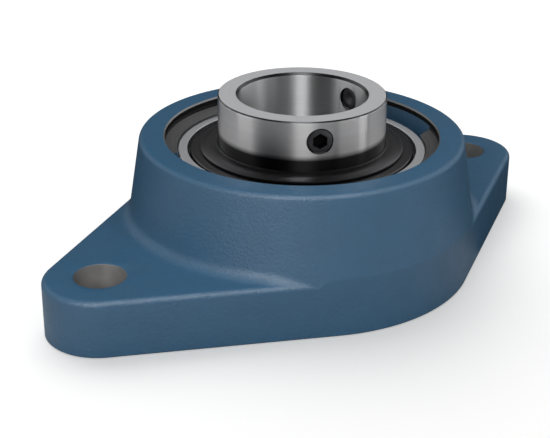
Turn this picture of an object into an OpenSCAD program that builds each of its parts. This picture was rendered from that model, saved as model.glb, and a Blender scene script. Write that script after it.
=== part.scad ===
// Two-bolt oval flange bearing unit for a 30 mm shaft.
// The origin lies on the mounting face, on the bearing's axis. +Z runs along that axis
// towards the set screws, and +X runs from one bolt hole to the other.

/* [Mounting flange] */
// Distance between the two bolt holes
bolt_spacing = 116.5; // [108:0.5:125]
// Diameter of each bolt hole
bolt_hole_d = 11.5; // [9:0.5:13]
// Metal round each bolt hole
ear_wall = 6.95; // [5.5:0.05:8]
// Thickness of the flange
flange_t = 13.3; // [12:0.1:14.5]
// Radius of the flange's cast top edge
flange_edge_r = 1.3; // [0.6:0.1:1.8]

/* [Boss] */
// Metal from the seat's widest circle to the flange's round middle
boss_wall = 10.35; // [9:0.05:12]
// How far the boss stands out past the round middle where it leaves the flange
boss_overhang = 0.1; // [0.05:0.05:0.3]
// Draft of the boss, from the bearing's axis
boss_draft = 9.1; // [5:0.1:10]
// Radius of the boss's cast front edge
boss_edge_r = 1.3; // [0.6:0.1:1.8]
// Radius of the hollow fillet between the boss and the flange
foot_r = 3; // [1.5:0.1:4]

/* [Seat and front bore] */
// Radial play between the outer ring and its spherical seat
seat_play = 0.03; // [0.01:0.01:0.08]
// How far the inner ring's back end stays inside the mounting face
ring_inset = 4.1; // [3:0.1:6]
// How much narrower the back opening is than the outer ring, on the radius
back_shoulder = 3; // [2:0.1:4]
// Chamfer of the back opening
back_chamfer = 0.8; // [0.3:0.1:1.5]
// How far the seat runs past the outer ring's front face
seat_past_ring = 0.5; // [0.2:0.1:1]
// How much wider the front bore is than the outer ring, on the radius
front_bore_step = 1.4; // [1:0.05:2]
// Rise of the sloping ledge between the seat and the front bore
ledge_rise = 0.7; // [0.3:0.1:1]
// Height of the bore wall between the ledge and the snap groove
cover_land = 0.8; // [0.4:0.1:1.5]
// Width of the snap groove for an end cover
groove_w = 1.1; // [0.6:0.1:1.6]
// Depth of the snap groove
groove_depth = 0.6; // [0.3:0.1:1]
// Height of the rim in front of the snap groove
rim_lip = 0.4; // [0.35:0.05:1]
// Chamfer of the rim
rim_chamfer = 0.3; // [0.1:0.05:0.3]
// How much wider each filling slot is than the outer ring, on each side
slot_side = 5; // [2:0.1:6]

/* [Bearing rings] */
// Bore of the inner ring
bore_d = 30; // [28:0.1:31]
// Length of the inner ring
ring_len = 38.1; // [36.5:0.1:42]
// Length of the inner ring in front of the balls' plane
ring_front = 22.2; // [21.5:0.1:23.5]
// Depth of the inner ring's raceway, for each millimetre of ball diameter
inner_race_share = 0.17323; // [0.13:0.00001:0.2]
// Outer diameter of the outer ring's sphere
insert_d = 62; // [61:0.1:66]
// Width of the outer ring
insert_w = 18; // [17.5:0.1:20]
// Depth of the outer ring's raceway, for each millimetre of ball diameter
outer_race_share = 0.19947; // [0.15:0.00001:0.23]
// Chamfer at the edge of the outer ring's face
outer_chamfer = 0.5; // [0.2:0.05:0.8]
// Depth of the recess for the seal, from the outer ring's face
seal_recess_w = 2; // [1.8:0.05:2.2]
// How much wider the seal recess is than the land inside it, on the radius
seal_step = 1.23; // [1:0.01:1.5]
// Chamfer at the ends of the inner ring's bore
bore_chamfer = 0.6; // [0.2:0.1:1]
// Chamfer at the ends of the inner ring's outside
ring_chamfer = 0.3; // [0.1:0.05:0.6]

/* [Balls and cage] */
// Ball diameter for each millimetre between the bore and the outer diameter
ball_share = 0.29766; // [0.285:0.00001:0.3]
// Number of balls
ball_count = 9; // [7:1:9]
// Play between a ball and each raceway
race_play = 0.04; // [0.01:0.01:0.08]
// Radius of each raceway's groove, for each millimetre of ball diameter
race_ratio = 0.52; // [0.51:0.005:0.54]
// Play between a ball and its cage pocket
pocket_play = 0.15; // [0.1:0.05:0.3]
// Radial gap between the cage and the inner ring, for each millimetre of ball diameter
cage_inner_share = 0.0945; // [0.05:0.0005:0.12]
// Radial gap between the cage and the outer ring's land, for each millimetre of ball diameter
cage_outer_share = 0.0735; // [0.04:0.0005:0.1]
// Thickness of the cage behind each ball
cage_web = 1.5; // [1:0.1:1.6]
// How far the cage's horns reach past the balls' centres
horn_h = 2.6; // [1.8:0.1:3]
// Width of the gap between the horns of neighbouring pockets
horn_gap = 3.2; // [2:0.1:3.6]

/* [Seals and flingers] */
// Thickness of the seal's sheet-steel washer
washer_t = 0.5; // [0.3:0.05:0.6]
// Open gap between the washer's rim and the outer ring
washer_gap = 0.63; // [0.4:0.01:0.9]
// Depth of the washer's turned-in inner edge
washer_hem = 0.9; // [0.6:0.1:1]
// Distance from the inner ring to the washer's inner edge
washer_reach = 1.85; // [1.6:0.05:2.2]
// Running clearance between a seal lip and the inner ring
lip_play = 0.08; // [0.02:0.01:0.1]
// Thickness of the flinger's sheet steel
flinger_t = 0.4; // [0.3:0.05:0.5]
// Radial width of the flinger
flinger_w = 4.25; // [3.8:0.05:5]
// Height of the flinger's disc in front of the outer ring's face
flinger_rise = 1.3; // [1.2:0.05:1.8]
// Radius of the flinger's drooping rim in section
flinger_droop_r = 5.4; // [4.5:0.1:7]
// Radial width of the flinger's drooping rim
flinger_droop_w = 2.6; // [2:0.1:2.7]
// Height of the flinger's hub above its disc
flinger_hub = 0.16; // [0.05:0.01:0.3]
// Thickness of the flinger's hub
flinger_hub_t = 0.48; // [0.35:0.01:0.6]

/* [Set screws] */
// Diameter of each set screw
screw_d = 6; // [5:0.5:7]
// Play between a set screw and its hole
screw_play = 0.05; // [0.02:0.01:0.1]
// Distance from the screws' axis to the inner ring's front end
screw_from_end = 4.7; // [4.2:0.1:6]
// Angle of the first set screw round the shaft
screw_angle = -120; // [-180:5:180]
// Angle from the first set screw to the second
screw_spread = 120; // [60:5:135]
// How far each screw's tip stays outside the bore at rest
screw_recess = 0.35; // [0.1:0.05:0.6]
// How far each screw's head lies under the inner ring's outside
screw_sink = 0.1; // [0:0.05:0.4]
// Width across the flats of the screws' hexagon socket
socket_af = 3; // [2.5:0.5:3.5]
// Depth of the hexagon socket
socket_depth = 2.2; // [1.5:0.1:2.5]

/* [Grease nipple] */
// Diameter of the nipple's thread
nipple_thread_d = 6; // [5:0.5:6]
// Length of the nipple's thread
nipple_thread_len = 5.5; // [4:0.5:6]
// Play between the nipple's thread and its hole
nipple_play = 0.05; // [0.02:0.01:0.1]
// Width across the flats of the nipple's hexagon
nipple_af = 7; // [6.5:0.5:7]
// Height of the nipple's hexagon
nipple_hex_h = 3; // [2.5:0.1:3.5]
// Height of the nipple above its seat
nipple_h = 9.5; // [9:0.1:10.5]
// Largest diameter of the nipple's head
nipple_head_d = 6.5; // [6:0.1:7]
// Diameter of the nipple's neck
nipple_neck_d = 4.9; // [4.4:0.1:5.4]
// Diameter of the check ball
valve_d = 2; // [1.8:0.1:2.2]
// Diameter of the nipple's mouth
mouth_d = 1.5; // [1.2:0.1:1.6]
// How far behind the balls' plane the nipple's axis leaves the boss
nipple_drop = 2; // [1:0.1:2.5]
// Tilt of the nipple towards the front
nipple_tilt = 20; // [12:1:24]
// Depth of the spot face on the nipple's axis
spot_depth = 0.9; // [0.7:0.1:1.5]
// Diameter of the drilled grease hole
grease_hole_d = 2.5; // [2:0.1:2.5]
// Width of the grease groove in the seat
grease_groove_w = 2.6; // [1.5:0.1:3]
// Depth of the grease groove in the seat
grease_groove_depth = 1; // [0.5:0.1:1.5]
// Diameter of the grease holes through the outer ring
ring_hole_d = 1.6; // [1:0.1:1.8]

/* [Hidden] */

$fn = 96;
small_fn = 48;
// Overshoot of a cutting tool past the face that it cuts
over = 2;
// Gap of a pressed or bonded piece, too small to see
fit_gap = 0.02;
// How far a round runs past its tangent, so that its faces cross cleanly
blend = 0.005;

// Rings
bore_r = bore_d / 2;
insert_r = insert_d / 2;
pitch_r = (bore_r + insert_r) / 2;
ball_d = ball_share * (insert_d - bore_d);
ball_r = ball_d / 2;
race_r = race_ratio * ball_d;
inner_race_r = pitch_r - ball_r - race_play;
outer_race_r = pitch_r + ball_r + race_play;
ring_r = inner_race_r + inner_race_share * ball_d;
ring_back = ring_len - ring_front;
centre_h = ring_back + ring_inset;
outer_land_r = outer_race_r - outer_race_share * ball_d;
seal_recess_r = outer_land_r + seal_step;
face_z = insert_w / 2;
outer_face_r = sqrt(insert_r ^ 2 - face_z ^ 2) - outer_chamfer;

// Flange outline: the straight sides run from the round middle to both ears, a hair
// inside the line that touches them
bolt_x = bolt_spacing / 2;
bolt_hole_r = bolt_hole_d / 2;
ear_r = bolt_hole_r + ear_wall;
waist_r = insert_r + boss_wall;
side_inset = 0.02;
side_angle = acos((waist_r - ear_r) / bolt_x);
side_normal = [cos(side_angle), sin(side_angle)];
side_start = (waist_r - side_inset) * side_normal;
side_end = [bolt_x, 0] + (ear_r - side_inset) * side_normal;
side_len = norm(side_end - side_start);

// Seat and front bore
seat_r = insert_r + seat_play;
back_open_r = insert_r - back_shoulder;
front_bore_r = insert_r + front_bore_step;
seat_top = face_z + seat_past_ring;
seat_edge_r = sqrt(seat_r ^ 2 - seat_top ^ 2);
ledge_z = centre_h + seat_top;
ledge_rim_z = ledge_z + ledge_rise;
ledge_slope = ledge_rise / (front_bore_r - seat_edge_r);
groove_z = ledge_rim_z + cover_land;
housing_h = groove_z + groove_w + rim_lip;
slot_w = insert_w + 2 * slot_side;

// Boss
boss_slope = tan(boss_draft);
function boss_r(z) = waist_r + boss_overhang - boss_slope * (z - flange_t);
// Outward normal of the boss's side, in its radial section
boss_normal = [cos(boss_draft), sin(boss_draft)];
boss_edge_c = [
    boss_r(housing_h - boss_edge_r) - (boss_edge_r - blend) / cos(boss_draft),
    housing_h - boss_edge_r + blend
];
foot_c = [
    boss_r(flange_t + foot_r) + (foot_r - blend) / cos(boss_draft),
    flange_t + foot_r - blend
];
foot_top = foot_c - foot_r * boss_normal;
// Inset of a 45 degree plane that runs just under the flange's round edge
edge_touch = flange_edge_r * (1 - cos(45)) + 0.05;

// Grease way
nipple_z = centre_h - nipple_drop;
nipple_r = boss_r(nipple_z);
spot_rim = 0.5;
spot_r = nipple_af / 2 / cos(30) + spot_rim;
hole_past_thread = 0.7;
nipple_hole_depth = nipple_thread_len + hole_past_thread;
grease_z = nipple_z - (nipple_r - seat_r) * tan(nipple_tilt);
grease_groove_r = sqrt(seat_r ^ 2 - (grease_z - centre_h) ^ 2) + grease_groove_depth;
// The drilled hole runs from the spot face into the grease groove
grease_hole_len = (nipple_r - seat_r) / cos(nipple_tilt) - spot_depth;

// Cage
pocket_r = ball_r + pocket_play;
cage_inner_r = ring_r + cage_inner_share * ball_d;
cage_outer_r = outer_land_r - cage_outer_share * ball_d;
cage_back = pocket_r + cage_web;
// How far the round floor between two horns lies behind the balls' centres
horn_gap_floor = 0.6;

// Seals and flingers, in heights from the balls' plane
washer_outer_r = seal_recess_r - fit_gap;
washer_wall_r = seal_recess_r - washer_gap;
washer_inner_r = ring_r + washer_reach;
washer_foot_z = face_z - seal_recess_w + fit_gap;
flinger_hub_r = ring_r + fit_gap;
flinger_r = ring_r + flinger_w;
flinger_z = face_z + flinger_rise;
// How far the flinger's hub reaches back past its disc
hub_skirt = 0.45;

// Set screws
screw_r = screw_d / 2;
screw_z = centre_h + ring_front - screw_from_end;
screw_tip_r = bore_r + screw_recess;
screw_len = ring_r - screw_sink - screw_tip_r;
cup_r = screw_d / 4;
tip_chamfer = 0.7;
head_chamfer = 0.35;

// Grease nipple, in heights from its seat
valve_r = valve_d / 2;
mouth_r = mouth_d / 2;
valve_play = 0.15;
valve_bore_r = valve_r + valve_play;
mouth_len = 0.6;
valve_z = nipple_h - mouth_len - sqrt(valve_r ^ 2 - mouth_r ^ 2) - fit_gap;
spring_foot_z = 1.2;
spring_wire_r = 0.13;
spring_r = valve_r - spring_wire_r;
spring_turns = 6;
spring_steps = 12;
spring_sides = 5;

// Housing

// What a convex edge of radius r loses, with the sharp corner at the origin
module edge_waste_2d(r) {
    difference() {
        translate([-r, -r]) square(r + over);
        translate([blend - r, blend - r]) circle(r = r, $fn = small_fn);
    }
}

// Carries a section along each straight side of the flange, past its ends by more:
// the section's X points outwards and its Y up, from the flange's top edge
module along_sides(more) {
    for (mx = [0, 1])
        for (my = [0, 1])
            mirror([mx, 0, 0])
                mirror([0, my, 0])
                    translate([side_start.x, side_start.y, flange_t])
                        rotate([90, 0, side_angle])
                            translate([0, 0, -more])
                                linear_extrude(side_len + 2 * more) children();
}

// Plate between the straight sides, and a round ear at each bolt
module flange_plate() {
    difference() {
        linear_extrude(flange_t)
            polygon([
                side_start,
                side_end,
                [side_end.x, -side_end.y],
                [side_start.x, -side_start.y],
                [-side_start.x, -side_start.y],
                [-side_end.x, -side_end.y],
                [-side_end.x, side_end.y],
                [-side_start.x, side_start.y]
            ]);
        along_sides(over) edge_waste_2d(flange_edge_r);
    }
    for (side = [-1, 1])
        translate([side * bolt_x, 0, 0])
            rotate_extrude()
                difference() {
                    square([ear_r, flange_t]);
                    translate([ear_r, flange_t]) edge_waste_2d(flange_edge_r);
                }
}

// Round middle, upright at the flange and conical above it
module boss() {
    rotate_extrude()
        difference() {
            polygon([
                [0, 0],
                [waist_r, 0],
                [waist_r, flange_t + boss_overhang / boss_slope],
                [boss_r(housing_h), housing_h],
                [0, housing_h]
            ]);
            difference() {
                polygon([
                    boss_edge_c,
                    boss_edge_c + (boss_edge_r + over) * boss_normal,
                    boss_edge_c + (boss_edge_r + over) * [1, 1],
                    boss_edge_c + [0, boss_edge_r + over]
                ]);
                translate(boss_edge_c) circle(r = boss_edge_r, $fn = small_fn);
            }
        }
}

// Hollow fillet at the boss's foot, faded out along 45 degree planes at the flange's sides
module boss_foot() {
    difference() {
        for (side = [0, 1])
            mirror([side, 0, 0])
                rotate_extrude(angle = 2 * side_angle, start = -side_angle)
                    difference() {
                        polygon([
                            [foot_top.x - over, flange_t - edge_touch],
                            [foot_c.x, flange_t - edge_touch],
                            foot_c,
                            foot_top,
                            [foot_top.x - over, foot_top.y]
                        ]);
                        translate(foot_c) circle(r = foot_r, $fn = small_fn);
                    }
        along_sides(waist_r)
            translate([-edge_touch, -edge_touch])
                rotate(45)
                    translate([0, -2 * foot_r]) square(4 * foot_r);
    }
}

// Spherical seat, back opening, sloping ledge, front bore and snap groove
module seat_cavity() {
    translate([0, 0, centre_h]) sphere(r = seat_r);
    rotate_extrude()
        polygon([
            [0, -over],
            [back_open_r + back_chamfer + over, -over],
            [back_open_r, back_chamfer],
            [back_open_r, centre_h],
            [0, centre_h]
        ]);
    rotate_extrude()
        polygon([
            [0, ledge_z - ledge_slope * over],
            [seat_edge_r - over, ledge_z - ledge_slope * over],
            [front_bore_r, ledge_rim_z],
            [front_bore_r, groove_z],
            [front_bore_r + groove_depth, groove_z],
            [front_bore_r + groove_depth, groove_z + groove_w],
            [front_bore_r, groove_z + groove_w],
            [front_bore_r, housing_h - rim_chamfer],
            [front_bore_r + rim_chamfer + over, housing_h + over],
            [0, housing_h + over]
        ]);
}

// Two slots, opposite each other, through which the insert goes in edge-on
module filling_slots() {
    intersection() {
        translate([0, 0, centre_h]) cylinder(r = front_bore_r, h = groove_z - centre_h);
        translate([-front_bore_r - over, -slot_w / 2, centre_h])
            cube([2 * (front_bore_r + over), slot_w, housing_h]);
    }
}

// Puts its children on the nipple's seat, with +Z out along the nipple
module at_nipple() {
    translate([0, nipple_r, nipple_z])
        rotate([nipple_tilt - 90, 0, 0])
            translate([0, 0, -spot_depth]) children();
}

module grease_way() {
    at_nipple() {
        cylinder(r = spot_r, h = nipple_h);
        translate([0, 0, -nipple_hole_depth])
            cylinder(r = nipple_thread_d / 2 + nipple_play, h = nipple_hole_depth + over, $fn = small_fn);
        translate([0, 0, -grease_hole_len])
            cylinder(r = grease_hole_d / 2, h = grease_hole_len, $fn = small_fn);
    }
    translate([0, 0, grease_z - grease_groove_w / 2])
        cylinder(r = grease_groove_r, h = grease_groove_w);
}

module housing() {
    color("#395c78")
        difference() {
            union() {
                flange_plate();
                boss();
                boss_foot();
            }
            seat_cavity();
            filling_slots();
            grease_way();
            for (side = [-1, 1])
                translate([side * bolt_x, 0, -over])
                    cylinder(r = bolt_hole_r, h = flange_t + 2 * over);
        }
}

// Bearing rings, balls and cage

module outer_ring() {
    chamfer_reach = insert_r - outer_face_r;
    color("#a7a8aa")
        translate([0, 0, centre_h])
            difference() {
                rotate_extrude()
                    difference() {
                        intersection() {
                            circle(r = insert_r);
                            translate([outer_land_r, -face_z]) square([insert_r, insert_w]);
                        }
                        translate([outer_race_r - race_r, 0]) circle(r = race_r);
                        for (side = [0, 1])
                            mirror([0, side]) {
                                translate([0, face_z - seal_recess_w])
                                    square([seal_recess_r, seal_recess_w + over]);
                                polygon([
                                    [outer_face_r - over, face_z + over],
                                    [outer_face_r + chamfer_reach, face_z - chamfer_reach],
                                    [outer_face_r + chamfer_reach, face_z + over]
                                ]);
                            }
                    }
                for (side = [-1, 1])
                    translate([0, 0, grease_z - centre_h])
                        rotate([side * 90, 0, 0])
                            translate([0, 0, outer_land_r - over])
                                cylinder(r = ring_hole_d / 2, h = insert_r, $fn = small_fn);
            }
}

module inner_ring() {
    color("#b4b6b8")
        difference() {
            translate([0, 0, centre_h])
                rotate_extrude()
                    difference() {
                        polygon([
                            [bore_r + bore_chamfer, -ring_back],
                            [ring_r - ring_chamfer, -ring_back],
                            [ring_r, -ring_back + ring_chamfer],
                            [ring_r, ring_front - ring_chamfer],
                            [ring_r - ring_chamfer, ring_front],
                            [bore_r + bore_chamfer, ring_front],
                            [bore_r, ring_front - bore_chamfer],
                            [bore_r, -ring_back + bore_chamfer]
                        ]);
                        translate([inner_race_r + race_r, 0]) circle(r = race_r);
                    }
            for (i = [0, 1])
                rotate([0, 0, screw_angle + i * screw_spread])
                    translate([0, 0, screw_z])
                        rotate([0, 90, 0])
                            cylinder(r = screw_r + screw_play, h = ring_r + over, $fn = small_fn);
        }
}

module ball(i) {
    color("#c8cacc")
        rotate([0, 0, (i - 0.5) * 360 / ball_count])
            translate([pitch_r, 0, centre_h]) sphere(r = ball_r);
}

// Snap cage: a ring behind the balls, with pairs of horns that close over each ball
module cage() {
    notch_z = -horn_gap_floor;
    notch_len = cage_outer_r - cage_inner_r + 2 * over;
    color("#3c3a36")
        translate([0, 0, centre_h])
            difference() {
                rotate_extrude()
                    translate([cage_inner_r, -cage_back])
                        square([cage_outer_r - cage_inner_r, cage_back + horn_h]);
                for (i = [1 : ball_count]) {
                    rotate([0, 0, (i - 0.5) * 360 / ball_count])
                        translate([pitch_r, 0, 0]) sphere(r = pocket_r);
                    rotate([0, 0, i * 360 / ball_count])
                        translate([cage_inner_r - over, 0, notch_z]) {
                            rotate([0, 90, 0])
                                cylinder(d = horn_gap, h = notch_len, $fn = small_fn);
                            translate([0, -horn_gap / 2, 0])
                                cube([notch_len, horn_gap, horn_h - notch_z + over]);
                        }
                }
            }
}

// Seals and flingers, drawn for the front and mirrored for the back

// Turns a section about the bearing's axis, on the front (1) or the back (-1)
module turned(side) {
    translate([0, 0, centre_h])
        mirror([0, 0, side > 0 ? 0 : 1])
            rotate_extrude() children();
}

module seal_washer(side) {
    rim_r = washer_wall_r - washer_t;
    color("#2b2b2d")
        turned(side) {
            translate([rim_r, washer_foot_z]) square([washer_outer_r - rim_r, washer_t]);
            translate([rim_r, washer_foot_z]) square([washer_t, face_z - washer_t - washer_foot_z]);
            translate([washer_inner_r, face_z - washer_t])
                square([rim_r - washer_inner_r, washer_t]);
            intersection() {
                translate([rim_r, face_z - washer_t]) circle(r = washer_t, $fn = small_fn);
                translate([rim_r, face_z - washer_t]) square(washer_t);
            }
            translate([washer_inner_r, face_z - washer_hem]) square([washer_t, washer_hem]);
        }
}

// Rubber moulded round the washer's inner edge, with one lip inwards and one outwards
module seal_lip(side) {
    wall = 0.6;
    under_hem = 0.9;
    front_sink = 0.1;
    tip_t = 0.2;
    edge_r = washer_inner_r - fit_gap;
    hem_z = face_z - washer_hem - fit_gap;
    front_z = face_z - front_sink;
    root_r = edge_r - 0.75;
    tip_r = ring_r + lip_play;
    inward_z = hem_z - 1;
    outward_z = hem_z + wall;
    color("#1d1d1f")
        turned(side)
            polygon([
                [edge_r, front_z],
                [edge_r, hem_z],
                [edge_r + under_hem, hem_z],
                [edge_r + under_hem, hem_z - wall],
                [edge_r - wall, hem_z - wall],
                [tip_r, inward_z],
                [tip_r, inward_z + tip_t],
                [root_r, hem_z - tip_t / 2],
                [root_r, hem_z + tip_t],
                [tip_r, outward_z],
                [tip_r, outward_z + tip_t],
                [edge_r - wall, front_z]
            ]);
}

module flinger(side) {
    droop_r = flinger_r - flinger_droop_w;
    droop_z = flinger_z - flinger_droop_r;
    hub_end = flinger_hub_r + flinger_hub_t;
    hub_h = flinger_t + flinger_hub + hub_skirt;
    color("#333336")
        turned(side) {
            translate([flinger_hub_r, flinger_z + flinger_hub - hub_h])
                square([flinger_hub_t, hub_h]);
            translate([hub_end, flinger_z - flinger_t]) square([droop_r - hub_end, flinger_t]);
            intersection() {
                difference() {
                    translate([droop_r, droop_z]) circle(r = flinger_droop_r);
                    translate([droop_r, droop_z]) circle(r = flinger_droop_r - flinger_t);
                }
                translate([droop_r, face_z]) square([flinger_droop_w, flinger_rise + over]);
            }
        }
}

// Set screw i, cup-pointed, with its tip towards the shaft
module set_screw(i) {
    socket_r = socket_af / 2 / cos(30);
    color("#26272a")
        rotate([0, 0, screw_angle + (i - 1) * screw_spread])
            translate([screw_tip_r, 0, screw_z])
                rotate([0, 90, 0])
                    difference() {
                        rotate_extrude($fn = small_fn)
                            polygon([
                                [0, cup_r / 2],
                                [cup_r, 0],
                                [screw_r - tip_chamfer, 0],
                                [screw_r, tip_chamfer],
                                [screw_r, screw_len - head_chamfer],
                                [screw_r - head_chamfer, screw_len],
                                [0, screw_len]
                            ]);
                        translate([0, 0, screw_len - socket_depth])
                            cylinder(r = socket_r, h = socket_depth + over, $fn = 6);
                    }
}

// Grease nipple

module nipple_body() {
    hex_r = nipple_af / 2 / cos(30);
    thread_r = nipple_thread_d / 2;
    neck_r = nipple_neck_d / 2;
    head_r = nipple_head_d / 2;
    tip_r = mouth_r + 1.05;
    hex_chamfer = 0.5;
    head_land = 0.5;
    head_z = nipple_h - 2.6;
    shoulder_z = head_z - 1;
    color("#b9a878")
        at_nipple()
            difference() {
                union() {
                    intersection() {
                        cylinder(r = hex_r, h = nipple_hex_h, $fn = 6);
                        cylinder(
                            r1 = hex_r + nipple_hex_h - hex_chamfer,
                            r2 = hex_r - hex_chamfer,
                            h = nipple_hex_h,
                            $fn = small_fn
                        );
                    }
                    rotate_extrude($fn = small_fn)
                        polygon([
                            [0, -nipple_thread_len],
                            [thread_r - hex_chamfer, -nipple_thread_len],
                            [thread_r, hex_chamfer - nipple_thread_len],
                            [thread_r, 0],
                            [neck_r, 0],
                            [neck_r, shoulder_z],
                            [head_r, head_z],
                            [head_r, head_z + head_land],
                            [tip_r, nipple_h],
                            [0, nipple_h]
                        ]);
                }
                translate([0, 0, spring_foot_z])
                    cylinder(
                        r = valve_bore_r,
                        h = nipple_h - mouth_len - spring_foot_z,
                        $fn = small_fn
                    );
                translate([0, 0, -nipple_thread_len - over])
                    cylinder(
                        r = mouth_r,
                        h = nipple_thread_len + nipple_h + 2 * over,
                        $fn = small_fn
                    );
            }
}

module nipple_ball() {
    color("#d0d2d4")
        at_nipple() translate([0, 0, valve_z]) sphere(r = valve_r, $fn = small_fn);
}

// Helical compression spring between the nipple's shoulder and the check ball
module nipple_spring() {
    foot = spring_foot_z + spring_wire_r + fit_gap;
    // The wire's end lies in the hollow round the ball's underside
    top = valve_z - sqrt((valve_r + spring_wire_r) ^ 2 - spring_r ^ 2) - 2 * fit_gap;
    last = spring_turns * spring_steps;
    points = [
        for (i = [0 : last])
            let (turn = 360 * i / spring_steps, z = foot + (top - foot) * i / last)
                for (k = [0 : spring_sides - 1])
                    let (
                        a = 360 * k / spring_sides,
                        r = spring_r + spring_wire_r * cos(a)
                    )
                        [r * cos(turn), r * sin(turn), z + spring_wire_r * sin(a)]
    ];
    walls = [
        for (i = [0 : last - 1])
            for (k = [0 : spring_sides - 1])
                let (n = (k + 1) % spring_sides, a = i * spring_sides, b = a + spring_sides)
                    each [[a + k, b + k, b + n], [a + k, b + n, a + n]]
    ];
    start_cap = [for (k = [0 : spring_sides - 1]) k];
    end_cap = [for (k = [spring_sides - 1 : -1 : 0]) last * spring_sides + k];
    color("#8c8f94")
        at_nipple() polyhedron(points, concat(walls, [start_cap, end_cap]), convexity = 4);
}

housing();
outer_ring();
inner_ring();
cage();
for (i = [1 : ball_count]) ball(i);
seal_washer(1);  // front_seal_washer
seal_lip(1);  // front_seal_lip
seal_washer(-1);  // back_seal_washer
seal_lip(-1);  // back_seal_lip
flinger(1);  // front_flinger
flinger(-1);  // back_flinger
set_screw(1);  // set_screw_1
set_screw(2);  // set_screw_2
nipple_body();
nipple_ball();
nipple_spring();
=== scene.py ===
import math

import bpy
import numpy as np
from mathutils import Matrix, Vector


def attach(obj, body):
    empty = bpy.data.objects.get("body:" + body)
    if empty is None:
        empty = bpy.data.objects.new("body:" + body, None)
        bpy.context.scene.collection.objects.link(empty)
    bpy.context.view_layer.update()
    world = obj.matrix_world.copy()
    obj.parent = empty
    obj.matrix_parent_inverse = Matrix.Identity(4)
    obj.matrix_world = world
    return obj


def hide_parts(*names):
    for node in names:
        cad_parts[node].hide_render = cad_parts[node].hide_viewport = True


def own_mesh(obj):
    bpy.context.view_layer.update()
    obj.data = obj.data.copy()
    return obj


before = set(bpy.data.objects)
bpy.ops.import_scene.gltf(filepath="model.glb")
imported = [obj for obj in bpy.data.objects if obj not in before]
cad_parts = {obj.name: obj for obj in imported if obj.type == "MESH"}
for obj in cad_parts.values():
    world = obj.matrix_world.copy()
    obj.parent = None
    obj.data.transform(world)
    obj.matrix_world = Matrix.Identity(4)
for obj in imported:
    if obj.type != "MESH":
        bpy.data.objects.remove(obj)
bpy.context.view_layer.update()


# Camera. It looks down on the near ear from the left, as the photograph does, with a long
# lens. Its place and lens were fitted to the rims and edges seen in the photograph.

azimuth, elevation, roll = (math.radians(a) for a in (-40.8747, 24.4137, 0.3657))
aim, distance = Vector((0.0033765, 0.0133705, 0.0041792)), 0.3364615
photo_width, focal_pixels, sensor_width = 550, 1323.008, 36
back = Vector((
    math.sin(azimuth) * math.cos(elevation),
    -math.cos(azimuth) * math.cos(elevation),
    math.sin(elevation),
))
level = Vector((math.cos(azimuth), math.sin(azimuth), 0))
upright = back.cross(level)
right = math.cos(roll) * level + math.sin(roll) * upright
up = math.cos(roll) * upright - math.sin(roll) * level
place = aim + distance * back

camera_data = bpy.data.cameras.new("camera")
camera_data.sensor_width = sensor_width
camera_data.lens = sensor_width * focal_pixels / photo_width
camera_data.clip_start, camera_data.clip_end = 0.01, 20
camera = bpy.data.objects.new("camera", camera_data)
camera.matrix_world = Matrix((
    (right.x, up.x, back.x, place.x),
    (right.y, up.y, back.y, place.y),
    (right.z, up.z, back.z, place.z),
    (0, 0, 0, 1),
))
bpy.context.scene.collection.objects.link(camera)
bpy.context.scene.camera = camera


# Housing. Grey iron, cast in one piece: an oval plate with a bolt hole in each ear, and a
# round boss with draft on its side. Every edge and foot is rounded, as sand casting leaves
# it. The casting is painted, then the seat, the bores and the back face are machined.

mm = 0.001
bolt_x, bolt_hole_r, ear_r, waist_r = 58.25, 5.75, 12.7, 41.35
plate_h, housing_h, centre_h = 13.3, 32.5, 20.0
draft = math.radians(9.1)
slope, cone_base = math.tan(draft), waist_r + 0.1
side_angle = math.acos((waist_r - ear_r) / bolt_x)
base_chamfer, edge_round, foot_round, rim_r, crease_r = 0.25, 1.3, 3.0, 1.3, 0.02


def mesh_piece(name, verts, faces):
    """A new object made of these points, given in millimetres."""
    mesh = bpy.data.meshes.new(name)
    mesh.from_pydata([tuple(float(c) * mm for c in v) for v in verts], [], faces)
    mesh.validate()
    piece = bpy.data.objects.new(name, mesh)
    bpy.context.scene.collection.objects.link(piece)
    return piece


def turned_faces(rings, count, closed):
    """Quads between neighbouring rings of count points each. Unless the rings close on
    themselves, the first and last get a flat end."""
    faces = []
    for i in range(rings if closed else rings - 1):
        a, b = i * count, (i + 1) % rings * count
        for k in range(count):
            n = (k + 1) % count
            faces.append((a + k, a + n, b + n, b + k))
    if not closed:
        last = (rings - 1) * count
        faces.append(tuple(range(count))[::-1])
        faces.append(tuple(range(last, last + count)))
    return faces


def turned(name, profile, count=256, closed=True):
    """Turns a section about Z: points of (radius, height), going round anticlockwise where it
    is closed, or from one flat end up to the other."""
    angles = 2 * np.pi * np.arange(count) / count
    verts = [(r * math.cos(a), r * math.sin(a), z) for r, z in profile for a in angles]
    return mesh_piece(name, verts, turned_faces(len(profile), count, closed))


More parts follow.
